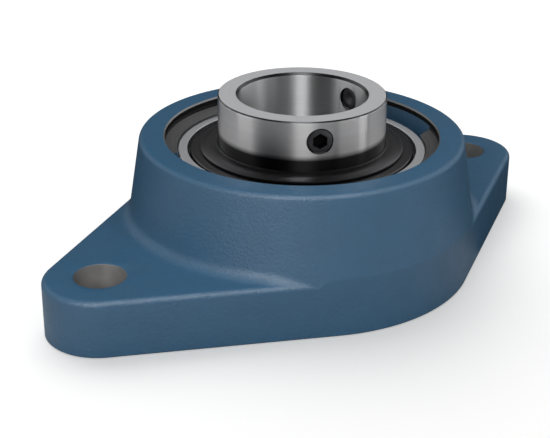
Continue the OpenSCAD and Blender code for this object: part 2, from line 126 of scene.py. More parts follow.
def outline(ear_steps, side_steps, waist_steps):
    """Points on the plate's edge with their outward normals, anticlockwise from +X."""
    def arc(cx, r, start, end, steps):
        for a in np.linspace(start, end, steps, endpoint=False):
            yield (cx + r * math.cos(a), r * math.sin(a), math.cos(a), math.sin(a))

    def side(p, q, normal, steps):
        for t in np.linspace(0, 1, steps, endpoint=False):
            yield (p[0] + (q[0] - p[0]) * t, p[1] + (q[1] - p[1]) * t, *normal)

    s, c = math.sin(side_angle), math.cos(side_angle)
    ear, waist = (bolt_x + ear_r * c, ear_r * s), (waist_r * c, waist_r * s)
    points = list(arc(bolt_x, ear_r, 0, side_angle, ear_steps))
    points += side(ear, waist, (c, s), side_steps)
    points += arc(0, waist_r, side_angle, math.pi / 2, waist_steps)
    quarter = points[:]
    points += [(0, waist_r, 0, 1)]
    points += [(-x, y, -nx, ny) for x, y, nx, ny in quarter[:0:-1]]
    half = points[:]
    points += [(-ear_r - bolt_x, 0, -1, 0)]
    points += [(x, -y, nx, -ny) for x, y, nx, ny in half[:0:-1]]
    return points


def rounds(x, y, nx, ny):
    """How the plate's side and the cone meet at a point of the outline: the height at which
    the edge round starts, how far both rounds turn, and the radii of the edge round and the
    foot fillet. Where the ledge is too narrow for them they meet in an S, and past that the
    side and the cone meet in a crease."""
    def short(turn):
        inset = edge_round * (1 - math.cos(turn))
        ledge = math.hypot(x - nx * inset, y - ny * inset) - cone_base
        rise = (edge_round + foot_round) * math.sin(turn) - edge_round
        return ledge + slope * rise + foot_round * (math.cos(turn) - 1 / math.cos(draft))

    if short(draft) <= 0:
        return plate_h - (math.hypot(x, y) - cone_base) / slope, draft, crease_r, crease_r
    turn = math.pi / 2
    if short(turn) < 0:
        low, high = draft, turn
        for _ in range(40):
            turn = (low + high) / 2
            low, high = (turn, high) if short(turn) > 0 else (low, turn)
    return plate_h - edge_round, turn, edge_round, foot_round


def section(x, y, nx, ny):
    """One section of the casting's outside, from the back face up to the boss's rim, as a
    dense line, with the numbers of the points at which its rounds begin and end."""
    edge_z, turn, edge_r, foot_r = rounds(x, y, nx, ny)
    line, marks = [(x, y, base_chamfer)], [0]

    def add(points):
        line.extend(points)
        marks.append(len(line) - 1)

    def on_edge(t):
        inset = edge_r * (1 - math.cos(t))
        return x - nx * inset, y - ny * inset, edge_z + edge_r * math.sin(t)

    def towards_axis(r, z):
        return end_x / end_r * r, end_y / end_r * r, z

    add((x, y, z) for z in np.linspace(base_chamfer, edge_z, 20)[1:])
    add(on_edge(t) for t in np.linspace(0, turn, 16)[1:])
    end_x, end_y, ledge_z = line[-1]
    end_r = math.hypot(end_x, end_y)
    foot_z = ledge_z + foot_r * math.sin(turn)
    if foot_r == crease_r:
        foot_c = end_r + foot_r * math.cos(turn)
    else:
        foot_c = cone_base - slope * (foot_z - plate_h) + foot_r / math.cos(draft)
    ledge_r = foot_c - foot_r * math.cos(turn)
    add(towards_axis(r, ledge_z) for r in np.linspace(end_r, ledge_r, 24)[1:])
    add(
        towards_axis(foot_c - foot_r * math.cos(t), foot_z - foot_r * math.sin(t))
        for t in np.linspace(turn, draft, 16)[1:]
    )
    cone_r, cone_z = foot_c - foot_r * math.cos(draft), foot_z - foot_r * math.sin(draft)
    rim_c = cone_base - slope * (housing_h - rim_r - plate_h) - rim_r / math.cos(draft)
    top_r = rim_c + rim_r * math.cos(draft)
    top_z = housing_h - rim_r + rim_r * math.sin(draft)
    add(
        towards_axis(cone_r + (top_r - cone_r) * t, cone_z + (top_z - cone_z) * t)
        for t in np.linspace(0, 1, 20)[1:]
    )
    add(
        towards_axis(rim_c + rim_r * math.cos(t), housing_h - rim_r * (1 - math.sin(t)))
        for t in np.linspace(draft, math.pi / 2, 16)[1:]
    )
    return np.array(line), marks


# Rows on the side, edge round, ledge, foot fillet, cone and rim round, and the least room that
# the three in the middle get
row_counts = (5, 8, 6, 8, 8, 7)
least_edge, least_ledge, least_foot = 1.4, 0.5, 1.8


def casting_rows(line, marks):
    """Points along a section, with room kept between the rows where its rounds fade out."""
    steps = np.linalg.norm(np.diff(line, axis=0), axis=1)
    along = np.concatenate([[0], np.cumsum(steps)])
    at = [along[m] for m in marks]
    least = (least_edge, least_ledge, least_foot)
    spans = [max(b - a, room) for a, b, room in zip(at[1:4], at[2:5], least)]
    at[1] = (at[1] + at[4] - sum(spans)) / 2
    for i, span in enumerate(spans, 1):
        at[i + 1] = at[i] + span
    places = []
    for a, b, n in zip(at[:-1], at[1:], row_counts):
        places += list(np.linspace(a, b, n, endpoint=False))
    places.append(at[-1])
    return np.stack([np.interp(places, along, line[:, i]) for i in range(3)], 1)


around = outline(ear_steps=26, side_steps=52, waist_steps=22)
columns = [casting_rows(*section(*p)) for p in around]
rows = np.stack(columns, 1)
foot_ring = [(x - nx * base_chamfer, y - ny * base_chamfer, 0) for x, y, nx, ny in around]
verts = foot_ring + [tuple(p) for row in rows for p in row]
faces = turned_faces(len(rows) + 1, len(around), closed=False)
casting = mesh_piece("housing_casting", verts, faces)


def settle(piece):
    """Turns a piece with its modifiers into a plain mesh."""
    shape = bpy.data.meshes.new_from_object(
        piece.evaluated_get(bpy.context.evaluated_depsgraph_get())
    )
    piece.modifiers.clear()
    old, piece.data = piece.data, shape
    shape.name = piece.name
    bpy.data.meshes.remove(old)


def combine(piece, operation, *others):
    """Cuts, joins or crosses piece with the others one by one, and deletes them."""
    for other in others:
        step = piece.modifiers.new("combine", "BOOLEAN")
        step.operation, step.solver, step.object = operation, "EXACT", other
        settle(piece)
        bpy.data.meshes.remove(other.data)


seat_r, seat_half, back_r, front_r = 31.03, 9.5, 28.0, 32.4
back_chamfer, mouth_chamfer, ledge_top = 0.8, 0.3, 30.2
snap_low, snap_high, snap_depth = 31.0, 32.1, 0.6
# How far a cutting tool runs past the face that it cuts
past = 2
seat_low = centre_h - math.sqrt(seat_r**2 - back_r**2)
seat_angles = math.asin((seat_low - centre_h) / seat_r), math.asin(seat_half / seat_r)
seat_tool = turned("seat_tool", [
    (back_r + back_chamfer + past, -past), (back_r, back_chamfer), (back_r, seat_low),
    *[
        (seat_r * math.cos(a), centre_h + seat_r * math.sin(a))
        for a in np.linspace(*seat_angles, 40)[1:]
    ],
    (front_r, ledge_top), (front_r, snap_low), (front_r + snap_depth, snap_low),
    (front_r + snap_depth, snap_high), (front_r, snap_high), (front_r, housing_h - mouth_chamfer),
    (front_r + mouth_chamfer + past, housing_h + past),
], 256, closed=False)

# Two slots, opposite each other, through which the insert goes in edge-on
slot_half, slot_reach, slot_top = 14, 35, 31.5
slot_verts = [
    (x, y, z) for x in (-slot_reach, slot_reach) for y in (-slot_half, slot_half)
    for z in (centre_h, slot_top)
]
slot_faces = [(0, 1, 3, 2), (4, 6, 7, 5), (0, 4, 5, 1), (2, 3, 7, 6), (0, 2, 6, 4), (1, 5, 7, 3)]
slot_tool = mesh_piece("slot_tool", slot_verts, slot_faces)
barrel = turned("barrel", [(front_r, centre_h - 1), (front_r, housing_h + 0.5)], 256, closed=False)
combine(slot_tool, "INTERSECT", barrel)

# A drill for each bolt hole, whose ends break the hole's edges
bolt_tools = []
for x in (-bolt_x, bolt_x):
    tool = turned("bolt_tool", [
        (bolt_hole_r + 0.9, -1), (bolt_hole_r, 0.25), (bolt_hole_r, plate_h - 0.3),
        (bolt_hole_r + 0.09, plate_h - 0.09), (bolt_hole_r + 0.3, plate_h),
        (bolt_hole_r + 1.55, plate_h + 0.4),
    ], 96, closed=False)
    tool.data.transform(Matrix.Translation((x * mm, 0, 0)))
    bolt_tools.append(tool)

# The nipple's spot face and tapped hole, and the passage from it to the groove in the seat
nipple_tilt, nipple_z, spot_depth = math.radians(20), 18.0, 0.9
nipple_r = cone_base - slope * (nipple_z - plate_h)
nipple_place = (
    Matrix.Translation((0, nipple_r * mm, nipple_z * mm))
    @ Matrix.Rotation(nipple_tilt - math.pi / 2, 4, "X")
    @ Matrix.Translation((0, 0, -spot_depth * mm))
)
passage_r, nipple_hole_r, tapped_depth = 1.25, 3.05, 6.2
nipple_tool = turned("nipple_tool", [
    (passage_r, -11), (passage_r, -tapped_depth), (nipple_hole_r, -tapped_depth),
    (nipple_hole_r, 0), (4.5, 0), (4.55, 4),
], 96, closed=False)
nipple_tool.data.transform(nipple_place)

grease_r, grease_low, grease_high = 31.54, 13.15, 15.75
groove = [(grease_r, grease_low), (grease_r, grease_high)]
groove_tool = turned("groove_tool", groove, 256, closed=False)
combine(casting, "DIFFERENCE", seat_tool, slot_tool, *bolt_tools, groove_tool, nipple_tool)
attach(casting, "housing")
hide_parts("housing")


def srgb(r, g, b):
    """A colour with parts of 0 to 255, as the linear values that nodes take."""
    return tuple(
        c / 12.92 if c <= 0.04045 else ((c + 0.055) / 1.055) ** 2.4
        for c in (r / 255, g / 255, b / 255)
    ) + (1,)


def new_group(name, inputs, outputs):
    """An empty shader node group with these sockets, each a (name, kind, value)."""
    group = bpy.data.node_groups.new(name, "ShaderNodeTree")
    for label, kind, value in inputs:
        socket = group.interface.new_socket(label, in_out="INPUT", socket_type=kind)
        socket.default_value = value
    for label, kind in outputs:
        group.interface.new_socket(label, in_out="OUTPUT", socket_type=kind)
    group.nodes.new("NodeGroupInput")
    group.nodes.new("NodeGroupOutput")
    return group


def put(tree, kind, values=(), **settings):
    """Adds a node to tree. Values go to its inputs: a socket is linked, else it is set."""
    node = tree.nodes.new(kind)
    for key, value in settings.items():
        setattr(node, key, value)
    for key, value in dict(values).items():
        if isinstance(value, bpy.types.NodeSocket):
            tree.links.new(value, node.inputs[key])
        else:
            node.inputs[key].default_value = value
    return node


def math_of(tree, operation, a, b=0.0):
    return put(tree, "ShaderNodeMath", {0: a, 1: b}, operation=operation).outputs[0]


FLOAT = "NodeSocketFloat"

# Skin of a sand casting under its paint: broad hollows, and the pits and grains of the sand
cast_skin = new_group(
    "cast skin",
    [("Grain Size", FLOAT, 0.6), ("Grain Depth", FLOAT, 0.02), ("Wave Depth", FLOAT, 0.1)],
    [("Height", FLOAT), ("Mask", FLOAT)],
)
inlet = cast_skin.nodes["Group Input"].outputs
spot = put(cast_skin, "ShaderNodeTexCoord").outputs["Object"]
per_mm = put(cast_skin, "ShaderNodeVectorMath", {0: spot, 3: 1 / mm}, operation="SCALE")
wave = put(cast_skin, "ShaderNodeTexNoise", {
    "Vector": per_mm.outputs[0], "Scale": 0.16, "Detail": 3.0, "Roughness": 0.5,
})
grain = put(cast_skin, "ShaderNodeTexNoise", {
    "Vector": per_mm.outputs[0], "Scale": math_of(cast_skin, "DIVIDE", 1.0, inlet["Grain Size"]),
    "Detail": 4.0, "Roughness": 0.62,
})
grain_height = math_of(cast_skin, "MULTIPLY", grain.outputs[0], inlet["Grain Depth"])
wave_height = math_of(cast_skin, "MULTIPLY", wave.outputs[0], inlet["Wave Depth"])
height = math_of(cast_skin, "ADD", grain_height, wave_height)
outlet = cast_skin.nodes["Group Output"].inputs
cast_skin.links.new(math_of(cast_skin, "MULTIPLY", height, mm), outlet["Height"])
cast_skin.links.new(wave.outputs[0], outlet["Mask"])

# Fine lathe or grinding lines round the Z axis, which show as rings on a face and as level
# lines on a wall, with a little wander so that they don't look printed
lathe_lines = new_group(
    "lathe lines",
    [("Spacing", FLOAT, 0.2), ("Depth", FLOAT, 0.002), ("Wander", FLOAT, 0.2)],
    [("Height", FLOAT), ("Mask", FLOAT)],
)
inlet = lathe_lines.nodes["Group Input"].outputs
spot = put(lathe_lines, "ShaderNodeTexCoord").outputs["Object"]
per_mm = put(lathe_lines, "ShaderNodeVectorMath", {0: spot, 3: 1 / mm}, operation="SCALE")
axes = put(lathe_lines, "ShaderNodeSeparateXYZ", {0: per_mm.outputs[0]})
squares = [
    math_of(lathe_lines, "MULTIPLY", axes.outputs[i], axes.outputs[i]) for i in (0, 1)
]
radius = math_of(lathe_lines, "SQRT", math_of(lathe_lines, "ADD", *squares))
drift = put(lathe_lines, "ShaderNodeTexNoise", {"Vector": per_mm.outputs[0], "Scale": 0.12})
drift = math_of(lathe_lines, "MULTIPLY", drift.outputs[0], inlet["Wander"])
lines = put(lathe_lines, "ShaderNodeCombineXYZ", {
    0: math_of(lathe_lines, "ADD", radius, drift),
    1: math_of(lathe_lines, "ADD", axes.outputs[2], drift),
})
lines = put(lathe_lines, "ShaderNodeTexNoise", {
    "Vector": lines.outputs[0], "Scale": math_of(lathe_lines, "DIVIDE", 1.0, inlet["Spacing"]),
    "Detail": 2.0,
}, noise_dimensions="2D")
depth = math_of(lathe_lines, "MULTIPLY", inlet["Depth"], mm)
outlet = lathe_lines.nodes["Group Output"].inputs
lathe_lines.links.new(math_of(lathe_lines, "MULTIPLY", lines.outputs[0], depth), outlet["Height"])
lathe_lines.links.new(lines.outputs[0], outlet["Mask"])


def material(name, sockets):
    """A material with one Principled shader, with these values on its sockets."""
    made = bpy.data.materials.new(name)
    made.use_nodes = True
    shader = made.node_tree.nodes["Principled BSDF"]
    for key, value in sockets.items():
        shader.inputs[key].default_value = value
    made.diffuse_color = shader.inputs["Base Color"].default_value
    return made, made.node_tree, shader


def between(tree, factor, low, high, a, b):
    """A number or colour that goes from a to b as factor goes from low to high."""
    if isinstance(a, tuple):
        ramp = put(tree, "ShaderNodeValToRGB", {"Fac": factor})
        ramp.color_ramp.elements[0].position, ramp.color_ramp.elements[0].color = low, a
        ramp.color_ramp.elements[1].position, ramp.color_ramp.elements[1].color = high, b
        return ramp.outputs[0]
    return put(tree, "ShaderNodeMapRange", {
        "Value": factor, "From Min": low, "From Max": high, "To Min": a, "To Max": b,
    }).outputs[0]


def surface(tree, shader, group, sizes, *changes):
    """Puts an effect in a material: its relief in the normal, and its mask in other sockets
    of the shader. Each change names a socket, the mask's limits and the values at them."""
    made = tree.nodes.new("ShaderNodeGroup")
    made.node_tree = group
    for key, value in sizes.items():
        made.inputs[key].default_value = value
    relief = put(tree, "ShaderNodeBump", {
        "Height": made.outputs["Height"], "Strength": 1.0, "Distance": 1.0,
    })
    tree.links.new(relief.outputs[0], shader.inputs["Normal"])
    for socket, low, high, a, b in changes:
        tree.links.new(between(tree, made.outputs["Mask"], low, high, a, b), shader.inputs[socket])
    return made.outputs["Mask"]


paint, tree, shader = material("blue paint on cast iron", {
    "Base Color": srgb(37, 82, 112), "Roughness": 0.5, "Specular IOR Level": 1.05,
})
surface(
    tree, shader, cast_skin, {"Grain Size": 0.7, "Grain Depth": 0.14, "Wave Depth": 0.06},
    ("Base Color", 0.35, 0.65, srgb(36, 81, 111), srgb(38, 84, 115)),
    ("Roughness", 0.3, 0.7, 0.54, 0.46),
)

machined, tree, shader = material("machined cast iron", {
    "Base Color": srgb(161, 161, 162), "Metallic": 1.0, "Roughness": 0.5,
})
surface(
    tree, shader, lathe_lines, {"Spacing": 0.12, "Depth": 0.004, "Wander": 0.1},
    ("Base Color", 0.3, 0.7, srgb(150, 150, 151), srgb(172, 172, 173)),
)

drilled, tree, shader = material("bare iron in the bolt holes", {
    "Base Color": srgb(128, 127, 125), "Metallic": 0.6, "Roughness": 0.6,
})
surface(
    tree, shader, cast_skin, {"Grain Size": 0.35, "Grain Depth": 0.05, "Wave Depth": 0.1},
    ("Base Color", 0.35, 0.65, srgb(118, 117, 116), srgb(138, 137, 135)),
)


def smooth(piece, degrees=30):
    """Smooth shading, with a crease wherever two faces meet at more than this angle."""
    piece.data.polygons.foreach_set("use_smooth", [True] * len(piece.data.polygons))
    piece.data.set_sharp_from_angle(angle=math.radians(degrees))


def dress(piece, *looks):
    piece.data.materials.clear()
    for look in looks:
        piece.data.materials.append(look)


# The front bore's wall from the ledge up to the snap groove, and the groove itself, are painted
# near black: painted shade and painted dark reflection
groove_shade, _, _ = material("oily snap groove", {
    "Base Color": srgb(18, 18, 19), "Roughness": 0.6, "Specular IOR Level": 0.3,
})
dress(casting, paint, machined, drilled, groove_shade)
# Paint stays on the outside and in the filling slots. What was turned or drilled is bare.
near = 0.01
for face in casting.data.polygons:
    x, y, z = (c / mm for c in face.center)
    radius, up_z = math.hypot(x, y), face.normal.z
    slot_side = z > centre_h and abs(abs(y) - slot_half) < near
    in_slot = abs(x) > 26 and (abs(z - centre_h) < near or slot_side)
    slot_end = abs(radius - front_r) < 0.2 and abs(y) < slot_half and centre_h < z < 30.9
    in_groove = front_r - 0.1 < radius < front_r + 0.7 and ledge_top < z - 0.05 < snap_high
    inside = radius < front_r + 0.7 and z < housing_h - near and not (in_slot or slot_end)
    # The front bore's wall and the snap groove get the painted shade
    if in_groove and not slot_end:
        face.material_index = 3
    elif inside or z < near:
        face.material_index = 1
    elif math.hypot(abs(x) - bolt_x, y) < bolt_hole_r + 0.15 and abs(up_z) < 0.6:
        face.material_index = 2
smooth(casting)


# Outer ring. Hardened bearing steel, with its outside ground to a sphere so that the insert can
# tilt in the housing. A ball race, two seal recesses and two small grease holes are cut in it.

insert_r, pitch_r, ball_r, race_play = 31.0, 23.0, 4.76256, 0.04
outer_race_r, race_r = pitch_r + ball_r + race_play, 4.95306
land_r = outer_race_r - 1.9
recess_r, recess_z, face_z = land_r + 1.23, 7.0, 9.0
outer_face_r, sphere_half = 29.165, 8.2956
grease_hole_r, grease_hole_z = 0.8, 14.466


def arc(cx, cz, r, start, end, steps=12):
    """Points of a section on a circle, from one angle to another, in degrees."""
    return [
        (cx + r * math.cos(a), cz + r * math.sin(a))
        for a in np.radians(np.linspace(start, end, steps))
    ]


def eased(points, ease):
    """A closed section with each corner sharper than 20 degrees rounded by hand-breaking."""
    made = []
    for i, here in enumerate(points):
        here = Vector(here)
        before, after = Vector(points[i - 1]), Vector(points[(i + 1) % len(points)])
        into, away = (here - before), (after - here)
        turn = abs(into.angle_signed(away, 0))
        if turn < math.radians(20):
            made.append(tuple(here))
            continue
        room = min(ease, into.length * 0.35, away.length * 0.35)
        into, away = into.normalized(), away.normalized()
        first, last = here - into * room, here + away * room
        made.append(tuple(first - into * room * 0.3))
        for t in np.linspace(0, 1, 5):
            made.append(tuple((1 - t) ** 2 * first + 2 * t * (1 - t) * here + t * t * last))
        made.append(tuple(last + away * room * 0.3))
    return made


def shifted(points, dz):
    return [(r, z + dz) for r, z in points]


race_end = math.degrees(math.acos((land_r - outer_race_r + race_r) / race_r))
sphere_end = math.degrees(math.asin(sphere_half / insert_r))
outer_section = [
    (recess_r, -face_z), (outer_face_r, -face_z), *arc(0, 0, insert_r, -sphere_end, sphere_end, 40),
    (outer_face_r, face_z), (recess_r, face_z), (recess_r, recess_z), (land_r, recess_z),
    *arc(outer_race_r - race_r, 0, race_r, race_end, -race_end, 24),
    (land_r, -recess_z), (recess_r, -recess_z),
]
outer_ring = turned("outer_ring_steel", shifted(eased(outer_section, 0.1), centre_h))
hole_tools = []
for side in (-1, 1):
    tool = turned("grease_hole", [(grease_hole_r, 24), (grease_hole_r, 32)], 48, closed=False)
    turn = Matrix.Rotation(-side * math.pi / 2, 4, "X")
    tool.data.transform(Matrix.Translation((0, 0, grease_hole_z * mm)) @ turn)
    hole_tools.append(tool)
combine(outer_ring, "DIFFERENCE", *hole_tools)

ground, tree, shader = material("ground bearing steel", {
    "Base Color": srgb(206, 207, 210), "Metallic": 1.0, "Roughness": 0.4,
})
surface(
    tree, shader, lathe_lines, {"Spacing": 0.06, "Depth": 0.0012, "Wander": 0.05},
    ("Base Color", 0.3, 0.7, srgb(200, 201, 204), srgb(212, 213, 216)),
)
dress(outer_ring, ground)
smooth(outer_ring)
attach(outer_ring, "insert")
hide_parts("outer_ring")


# Balls. Chrome steel, ground and lapped to a mirror. They stay as the frame has them.

ball_count = 9
lapped, tree, shader = material("lapped ball steel", {
    "Base Color": srgb(205, 207, 210), "Metallic": 1.0, "Roughness": 0.08,
})
surface(
    tree, shader, cast_skin, {"Grain Size": 0.2, "Grain Depth": 0.0002, "Wave Depth": 0.001},
    ("Roughness", 0.3, 0.7, 0.06, 0.1),
)
for i in range(1, ball_count + 1):
    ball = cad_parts["ball_%d" % i]
    dress(ball, lapped)
    smooth(ball, 60)


# Cage. Glass-filled nylon moulded in one piece: a ring behind the balls, with pairs of horns
# that snap over each ball. One pocket and one gap are made, and repeated round the ring.

inner_race_r = pitch_r - ball_r - race_play
ring_r = inner_race_r + 1.65
pocket_r, horn_gap, gap_floor, web = ball_r + 0.15, 3.2, -0.6, 1.5
cage_in, cage_out, cage_low, horn_top = ring_r + 0.9, land_r - 0.7, -pocket_r - web, 2.6
# Lengths of the tools that cut a gap, which only have to reach through the cage's wall
drum_length, block_length, block_height = 0.012, 0.0119, 0.01


def geometry_tree(name, **inputs):
    """An empty Geometry Nodes tree with named inputs, each a socket kind and a value."""
    tree = bpy.data.node_groups.new(name, "GeometryNodeTree")
    tree.interface.new_socket("Geometry", in_out="INPUT", socket_type="NodeSocketGeometry")
    for label, (kind, value) in inputs.items():
        label = label.replace("_", " ")
        socket = tree.interface.new_socket(label, in_out="INPUT", socket_type="NodeSocket" + kind)
        socket.default_value = value
    tree.interface.new_socket("Material", in_out="INPUT", socket_type="NodeSocketMaterial")
    tree.interface.new_socket("Geometry", in_out="OUTPUT", socket_type="NodeSocketGeometry")
    return tree, put(tree, "NodeGroupInput").outputs


def end_tree(tree, geometry, look):
    """Ends a Geometry Nodes tree as one real mesh with its material."""
    real = put(tree, "GeometryNodeRealizeInstances", {"Geometry": geometry})
    done = put(tree, "GeometryNodeSetMaterial", {"Geometry": real.outputs[0], "Material": look})
    put(tree, "NodeGroupOutput", {0: done.outputs[0]})


def grow(piece, tree, **values):
    """Runs a Geometry Nodes tree on a piece with these inputs, and keeps the mesh."""
    maker = piece.modifiers.new(tree.name, "NODES")
    maker.node_group = tree
    for item in tree.interface.items_tree:
        key = item.name.replace(" ", "_")
        if item.in_out == "INPUT" and key in values:
            maker[item.identifier] = values[key]
    settle(piece)


# Three tools are copied round the axis, one of each for every ball: a globe cuts its pocket,
# and a drum and a block cut the gap to the next pair of horns
pockets, inlet = geometry_tree(
    "cage pockets", Count=("Int", 9), Pitch_Radius=("Float", 0.02), Pocket_Radius=("Float", 0.005),
    Gap=("Float", 0.003), Gap_Floor=("Float", 0.0), Height=("Float", 0.02),
)
step = math_of(pockets, "DIVIDE", math.tau, inlet["Count"])
index = put(pockets, "GeometryNodeInputIndex").outputs[0]
turn = math_of(pockets, "MULTIPLY", index, step)
spin = put(pockets, "ShaderNodeCombineXYZ", {2: turn})
spots = put(pockets, "GeometryNodeMeshCircle", {"Vertices": inlet["Count"], "Radius": 0.001})
half = put(pockets, "ShaderNodeCombineXYZ", {2: math_of(pockets, "MULTIPLY", step, 0.5)})
lift = put(pockets, "ShaderNodeCombineXYZ", {2: inlet["Height"]})
globe = put(pockets, "GeometryNodeMeshUVSphere", {
    "Segments": 64, "Rings": 32, "Radius": inlet["Pocket Radius"],
})
globe = put(pockets, "GeometryNodeTransform", {
    "Geometry": globe.outputs[0],
    "Translation": put(pockets, "ShaderNodeCombineXYZ", {0: inlet["Pitch Radius"]}).outputs[0],
})
drum = put(pockets, "GeometryNodeMeshCylinder", {
    "Vertices": 48, "Radius": math_of(pockets, "MULTIPLY", inlet["Gap"], 0.5), "Depth": drum_length,
})
drum = put(pockets, "GeometryNodeTransform", {
    "Geometry": drum.outputs[0], "Rotation": (0, math.pi / 2, 0),
    "Translation": put(pockets, "ShaderNodeCombineXYZ", {
        0: inlet["Pitch Radius"], 2: inlet["Gap Floor"],
    }).outputs[0],
})
block = put(pockets, "GeometryNodeMeshCube", {
    "Size": put(pockets, "ShaderNodeCombineXYZ", {
        0: block_length, 1: inlet["Gap"], 2: block_height,
    }).outputs[0],
})
block = put(pockets, "GeometryNodeTransform", {
    "Geometry": block.outputs[0],
    "Translation": put(pockets, "ShaderNodeCombineXYZ", {
        0: inlet["Pitch Radius"],
        2: math_of(pockets, "ADD", inlet["Gap Floor"], block_height / 2),
    }).outputs[0],
})
centre = put(pockets, "GeometryNodeSetPosition", {
    "Geometry": spots.outputs[0], "Position": (0, 0, 0),
})
tools = []
for shape, start in ((globe, half.outputs[0]), (drum, (0, 0, 0)), (block, (0, 0, 0))):
    copies = put(pockets, "GeometryNodeInstanceOnPoints", {
        "Points": centre.outputs[0], "Instance": shape.outputs[0], "Rotation": spin.outputs[0],
    })
    placed = put(pockets, "GeometryNodeTransform", {
        "Geometry": copies.outputs[0], "Translation": lift.outputs[0], "Rotation": start,
    })
    tools.append(put(pockets, "GeometryNodeRealizeInstances", {
        "Geometry": placed.outputs[0],
    }).outputs[0])
carved = inlet["Geometry"]
for tool in tools:
    carve = put(pockets, "GeometryNodeMeshBoolean", operation="DIFFERENCE", solver="EXACT")
    pockets.links.new(carved, carve.inputs["Mesh 1"])
    pockets.links.new(tool, carve.inputs["Mesh 2"])
    carved = carve.outputs[0]
end_tree(pockets, carved, inlet["Material"])

nylon, tree, shader = material("glass-filled nylon", {
    "Base Color": srgb(58, 54, 48), "Roughness": 0.5,
})
surface(
    tree, shader, cast_skin, {"Grain Size": 0.25, "Grain Depth": 0.006, "Wave Depth": 0.01},
    ("Base Color", 0.3, 0.7, srgb(50, 46, 41), srgb(64, 60, 53)),
)

cage_section = eased(
    [(cage_in, cage_low), (cage_out, cage_low), (cage_out, horn_top), (cage_in, horn_top)], 0.3
)
cage = turned("cage_nylon", shifted(cage_section, centre_h))
grow(
    cage, pockets, Count=ball_count, Pitch_Radius=pitch_r * mm, Pocket_Radius=pocket_r * mm,
    Gap=horn_gap * mm, Gap_Floor=gap_floor * mm, Height=centre_h * mm, Material=nylon,
)
smooth(cage)
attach(cage, "cage")
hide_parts("cage")


# Inner ring. Hardened steel, ground on its outside and in its bore. It runs past the outer
# ring at the front, where two threaded holes at 120 degrees take the set screws.

bore_r, ring_back, ring_front = 15.0, -15.9, 22.2
bore_chamfer, ring_chamfer = 0.6, 0.3
screw_z, screw_turns = 37.5, (-120, 0)
screw_r, hole_r, screw_pitch, thread_depth = 3.0, 3.05, 0.75, 0.45
hole_low, hole_high = 13.0, 18.9


def thread(tree_name):
    """A tree that cuts a thread in a turned piece that stands on the Z axis. The wall's points
    are drawn in to a V that climbs by one pitch a turn."""
    tree, inlet = geometry_tree(
        tree_name, Radius=("Float", 0.003), Pitch=("Float", 0.001), Depth=("Float", 0.0005),
        Low=("Float", 0.0), High=("Float", 1.0),
    )
    at = put(tree, "ShaderNodeSeparateXYZ", {0: put(tree, "GeometryNodeInputPosition").outputs[0]})
    x, y, z = at.outputs
    squares = math_of(tree, "MULTIPLY", x, x), math_of(tree, "MULTIPLY", y, y)
    radius = math_of(tree, "SQRT", math_of(tree, "ADD", *squares))
    angle = math_of(tree, "DIVIDE", math_of(tree, "ARCTAN2", y, x), math.tau)
    rise = math_of(tree, "SUBTRACT", math_of(tree, "DIVIDE", z, inlet["Pitch"]), angle)
    wave = math_of(tree, "PINGPONG", rise, 0.5)
    flank = put(tree, "ShaderNodeMapRange", {"Value": wave, "From Min": 0.06, "From Max": 0.44})
    depth = math_of(tree, "MULTIPLY", flank.outputs[0], inlet["Depth"])
    wall = math_of(tree, "SUBTRACT", inlet["Radius"], depth)
    pull = math_of(tree, "DIVIDE", math_of(tree, "MINIMUM", radius, wall), radius)
    moved = put(tree, "ShaderNodeCombineXYZ", {
        0: math_of(tree, "MULTIPLY", x, pull), 1: math_of(tree, "MULTIPLY", y, pull), 2: z,
    })
    within = math_of(
        tree, "MULTIPLY", math_of(tree, "GREATER_THAN", z, inlet["Low"]),
        math_of(tree, "LESS_THAN", z, inlet["High"]),
    )
    outer = math_of(tree, "GREATER_THAN", radius, math_of(tree, "MULTIPLY", inlet["Radius"], 0.5))
    move = put(tree, "GeometryNodeSetPosition", {
        "Geometry": inlet["Geometry"], "Selection": math_of(tree, "MULTIPLY", within, outer),
        "Position": moved.outputs[0],
    })
    end_tree(tree, move.outputs[0], inlet["Material"])
    return tree


def shank(low, high, r, pitch):
    """A straight wall of a section, with rows close enough to carry a thread."""
    rows = int((high - low) / pitch * 12)
    return [(r, z) for z in np.linspace(low, high, rows)]


threading = thread("thread")
race_end = math.degrees(math.acos((inner_race_r + race_r - ring_r) / race_r))
inner_section = [
    (bore_r + bore_chamfer, ring_back), (ring_r - ring_chamfer, ring_back),
    (ring_r, ring_back + ring_chamfer),
    *arc(inner_race_r + race_r, 0, race_r, 180 + race_end, 180 - race_end, 24),
    (ring_r, ring_front - ring_chamfer), (ring_r - ring_chamfer, ring_front),
    (bore_r + bore_chamfer, ring_front), (bore_r, ring_front - bore_chamfer),
    (bore_r, ring_back + bore_chamfer),
]
inner_ring = turned("inner_ring_steel", shifted(eased(inner_section, 0.08), centre_h))
screw_places = [
    Matrix.Rotation(math.radians(a), 4, "Z") @ Matrix.Translation((0, 0, screw_z * mm))
    @ Matrix.Rotation(math.pi / 2, 4, "Y") for a in screw_turns
]

bright, tree, shader = material("ground steel of the inner ring", {
    "Base Color": srgb(198, 197, 197), "Metallic": 1.0, "Roughness": 0.3, "Anisotropic": 1.0,
    "Anisotropic Rotation": 0.25,
})
radial = put(tree, "ShaderNodeTangent", direction_type="RADIAL", axis="Z")
tree.links.new(radial.outputs[0], shader.inputs["Tangent"])
lines = surface(tree, shader, lathe_lines, {"Spacing": 0.05, "Depth": 0.0006, "Wander": 0.03})
tone = between(tree, lines, 0.3, 0.7, srgb(190, 189, 189), srgb(206, 205, 205))
